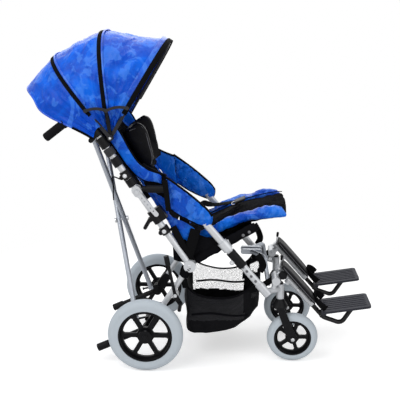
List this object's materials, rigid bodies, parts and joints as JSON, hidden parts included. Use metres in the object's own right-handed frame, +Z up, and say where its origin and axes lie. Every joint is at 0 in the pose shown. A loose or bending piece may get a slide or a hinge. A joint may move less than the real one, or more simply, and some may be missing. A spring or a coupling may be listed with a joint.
{
  "type": "special needs stroller",
  "caption": "Folding special needs stroller with sling seat, padded back, hood, head support, leg rests with footplates, swivel casters and basket.",
  "frame": {"origin": "centre of the overall box, on the floor", "axes": "+X forward, +Y to the occupant's left, +Z up"},
  "size_m": [1.3245, 0.601, 1.278],
  "materials": {
    "silver_paint": "satin silver paint",
    "cast_silver": "cast, satin",
    "zinc": "zinc plated",
    "grip_foam": "matt foam",
    "black_plastic": "moulded, satin",
    "wheel_plastic": "moulded nylon",
    "black_tube": "black powder coat",
    "grey_strut": "satin grey paint",
    "grey_tyre": "solid polyurethane, light blue grey",
    "blue_nylon": "coated nylon, glossy",
    "black_fabric": "woven polyester",
    "black_leatherette": "leatherette",
    "footplate_plastic": "ribbed moulded plastic"
  },
  "bodies": {
    "right_side": {"right_push_tube": "silver_paint", "right_push_grip": "grip_foam", "right_fittings": "black_plastic", "right_latch_bar": "zinc", "right_front_leg": "silver_paint", "right_frame_brackets": "cast_silver", "right_caster_head": "silver_paint", "right_rear_leg": "silver_paint", "right_axle_bracket": "black_plastic", "right_seat_rail": "black_tube", "right_armrest_pad": "blue_nylon", "seat_cushion": "blue_nylon", "seat_sling": "black_fabric", "back_cushion": "blue_nylon", "basket": "black_fabric", "hood_rear_bow": "black_tube", "hood_cover": "blue_nylon"},
    "left_side": {"left_push_tube": "silver_paint", "left_push_grip": "grip_foam", "left_fittings": "black_plastic", "left_latch_bar": "zinc", "left_front_leg": "silver_paint", "left_frame_brackets": "cast_silver", "left_caster_head": "silver_paint", "left_rear_leg": "silver_paint", "left_axle_bracket": "black_plastic", "left_seat_rail": "black_tube", "left_armrest_pad": "blue_nylon"},
    "right_rear_wheel": {"right_rear_tyre": "grey_tyre", "right_rear_rim": "wheel_plastic"},
    "right_caster": {"right_caster_fork": "black_tube"},
    "right_front_wheel": {"right_front_tyre": "grey_tyre", "right_front_rim": "wheel_plastic"},
    "right_legrest": {"right_legrest_hanger": "silver_paint", "right_calf_pad": "black_leatherette"},
    "right_foot_slide": {"right_foot_tube": "black_tube"},
    "right_footrest": {"right_footplate": "footplate_plastic"},
    "right_latch": {"right_latch_lever": "black_plastic"},
    "right_lock": {"right_brake_lever": "black_plastic"},
    "left_rear_wheel": {"left_rear_tyre": "grey_tyre", "left_rear_rim": "wheel_plastic"},
    "left_caster": {"left_caster_fork": "black_tube"},
    "left_front_wheel": {"left_front_tyre": "grey_tyre", "left_front_rim": "wheel_plastic"},
    "left_legrest": {"left_legrest_hanger": "silver_paint", "left_calf_pad": "black_leatherette"},
    "left_foot_slide": {"left_foot_tube": "black_tube"},
    "left_footrest": {"left_footplate": "footplate_plastic"},
    "left_latch": {"left_latch_lever": "black_plastic"},
    "left_lock": {"left_brake_lever": "black_plastic"},
    "strut_a": {"rear_strut_a": "grey_strut", "strut_pin": "black_plastic"},
    "strut_b": {"rear_strut_b": "grey_strut"},
    "brace_r": {"brace_right": "grey_strut"},
    "brace_l": {"brace_left": "grey_strut"},
    "head_pad": {"head_support": "black_leatherette"},
    "hood_middle": {"hood_middle_bow": "black_tube"},
    "hood_front": {"hood_front_bow": "black_tube"},
    "hood_link_f": {"hood_link_front": "black_plastic"},
    "hood_link_r": {"hood_link_rear": "black_plastic"}
  },
  "joints": [
    {"name": "fold", "type": "slide", "parent": "right_side", "child": "left_side", "axis": [0, -1, 0], "range_m": [0, 0.15], "deforming": ["seat_cushion", "seat_sling", "back_cushion", "basket", "head_support"]},
    {"name": "right_rear_spin", "type": "hinge", "parent": "right_side", "child": "right_rear_wheel", "pos_m": [-0.202, -0.27, 0.145], "axis": [0, 1, 0], "continuous": true},
    {"name": "right_caster_swivel", "type": "hinge", "parent": "right_side", "child": "right_caster", "pos_m": [0.315, -0.162, 0.29], "axis": [0, 0, 1], "continuous": true},
    {"name": "right_front_spin", "type": "hinge", "parent": "right_caster", "child": "right_front_wheel", "pos_m": [0.367, -0.162, 0.1], "axis": [0, 1, 0], "continuous": true},
    {"name": "right_legrest_raise", "type": "hinge", "parent": "right_side", "child": "right_legrest", "pos_m": [0.296, -0.15, 0.346], "axis": [0, -1, 0], "range_deg": [0, 45]},
    {"name": "right_foot_length", "type": "slide", "parent": "right_legrest", "child": "right_foot_slide", "axis": [0.6626, 0, -0.749], "range_m": [0, 0.06]},
    {"name": "right_footplate_flip", "type": "hinge", "parent": "right_foot_slide", "child": "right_footrest", "pos_m": [0.48579, -0.15, 0.2103], "axis": [0, -1, 0], "range_deg": [0, 70]},
    {"name": "right_latch_release", "type": "hinge", "parent": "right_side", "child": "right_latch", "pos_m": [-0.1857, -0.208, 0.58552], "axis": [0, 1, 0], "range_deg": [0, 35], "stiffness_Nm_per_rad": 0.2, "springref_deg": -11.46},
    {"name": "right_wheel_lock", "type": "hinge", "parent": "right_side", "child": "right_lock", "pos_m": [-0.09, -0.23, 0.292], "axis": [0, 1, 0], "range_deg": [0, 28]},
    {"name": "left_rear_spin", "type": "hinge", "parent": "left_side", "child": "left_rear_wheel", "pos_m": [-0.202, 0.27, 0.145], "axis": [0, 1, 0], "continuous": true},
    {"name": "left_caster_swivel", "type": "hinge", "parent": "left_side", "child": "left_caster", "pos_m": [0.315, 0.162, 0.29], "axis": [0, 0, 1], "continuous": true},
    {"name": "left_front_spin", "type": "hinge", "parent": "left_caster", "child": "left_front_wheel", "pos_m": [0.367, 0.162, 0.1], "axis": [0, 1, 0], "continuous": true},
    {"name": "left_legrest_raise", "type": "hinge", "parent": "left_side", "child": "left_legrest", "pos_m": [0.296, 0.15, 0.346], "axis": [0, -1, 0], "range_deg": [0, 45]},
    {"name": "left_foot_length", "type": "slide", "parent": "left_legrest", "child": "left_foot_slide", "axis": [0.6626, 0, -0.749], "range_m": [0, 0.06]},
    {"name": "left_footplate_flip", "type": "hinge", "parent": "left_foot_slide", "child": "left_footrest", "pos_m": [0.48579, 0.15, 0.2103], "axis": [0, -1, 0], "range_deg": [0, 70]},
    {"name": "left_latch_release", "type": "hinge", "parent": "left_side", "child": "left_latch", "pos_m": [-0.1857, 0.208, 0.58552], "axis": [0, 1, 0], "range_deg": [0, 35], "stiffness_Nm_per_rad": 0.2, "springref_deg": -11.46},
    {"name": "left_wheel_lock", "type": "hinge", "parent": "left_side", "child": "left_lock", "pos_m": [-0.09, 0.23, 0.292], "axis": [0, 1, 0], "range_deg": [0, 28]},
    {"name": "strut_a_turn", "type": "hinge", "parent": "left_side", "child": "strut_a", "pos_m": [-0.238, 0.168, 0.168], "axis": [-0.9738, 0, -0.2272], "range_deg": [0, 11.25]},
    {"name": "strut_b_turn", "type": "hinge", "parent": "right_side", "child": "strut_b", "pos_m": [-0.238, -0.168, 0.168], "axis": [0.9738, 0, 0.2272], "range_deg": [0, 11.25]},
    {"name": "brace_right_turn", "type": "hinge", "parent": "right_side", "child": "brace_r", "pos_m": [0.268, -0.14, 0.318], "axis": [1, 0, 0], "range_deg": [0, 36.6]},
    {"name": "brace_left_turn", "type": "hinge", "parent": "left_side", "child": "brace_l", "pos_m": [0.268, 0.14, 0.318], "axis": [-1, 0, 0], "range_deg": [0, 36.6]},
    {"name": "head_height", "type": "slide", "parent": "right_side", "child": "head_pad", "axis": [-0.5592, 0, 0.829], "range_m": [-0.06, 0.04]},
    {"name": "hood_fold", "type": "hinge", "parent": "right_side", "child": "hood_middle", "pos_m": [-0.32399, 0, 0.89873], "axis": [0, -1, 0], "range_deg": [0, 23], "deforming": ["hood_cover"]},
    {"name": "hood_front_fold", "type": "hinge", "parent": "hood_middle", "child": "hood_front", "pos_m": [-0.32399, 0, 0.89873], "axis": [0, -1, 0], "range_deg": [0, 28]},
    {"name": "hood_link_rear_turn", "type": "hinge", "parent": "right_side", "child": "hood_link_r", "pos_m": [-0.40884, 0, 0.99985], "axis": [0, 1, 0], "range_deg": [0, 44.3]},
    {"name": "hood_link_front_turn", "type": "hinge", "parent": "hood_front", "child": "hood_link_f", "pos_m": [-0.25601, 0, 1.01188], "axis": [0, -1, 0], "range_deg": [0, 44.3]}
  ],
  "couplings": [
    {"joint": "strut_a_turn", "follows": "fold", "rad_per_m": 1.3031},
    {"joint": "strut_b_turn", "follows": "fold", "rad_per_m": 1.3031},
    {"joint": "brace_right_turn", "follows": "fold", "rad_per_m": 4.2523},
    {"joint": "brace_left_turn", "follows": "fold", "rad_per_m": 4.2523},
    {"joint": "hood_front_fold", "follows": "hood_fold", "ratio": 1.2174},
    {"joint": "hood_link_rear_turn", "follows": "hood_fold", "ratio": 1.92},
    {"joint": "hood_link_front_turn", "follows": "hood_fold", "ratio": 1.92}
  ]
}
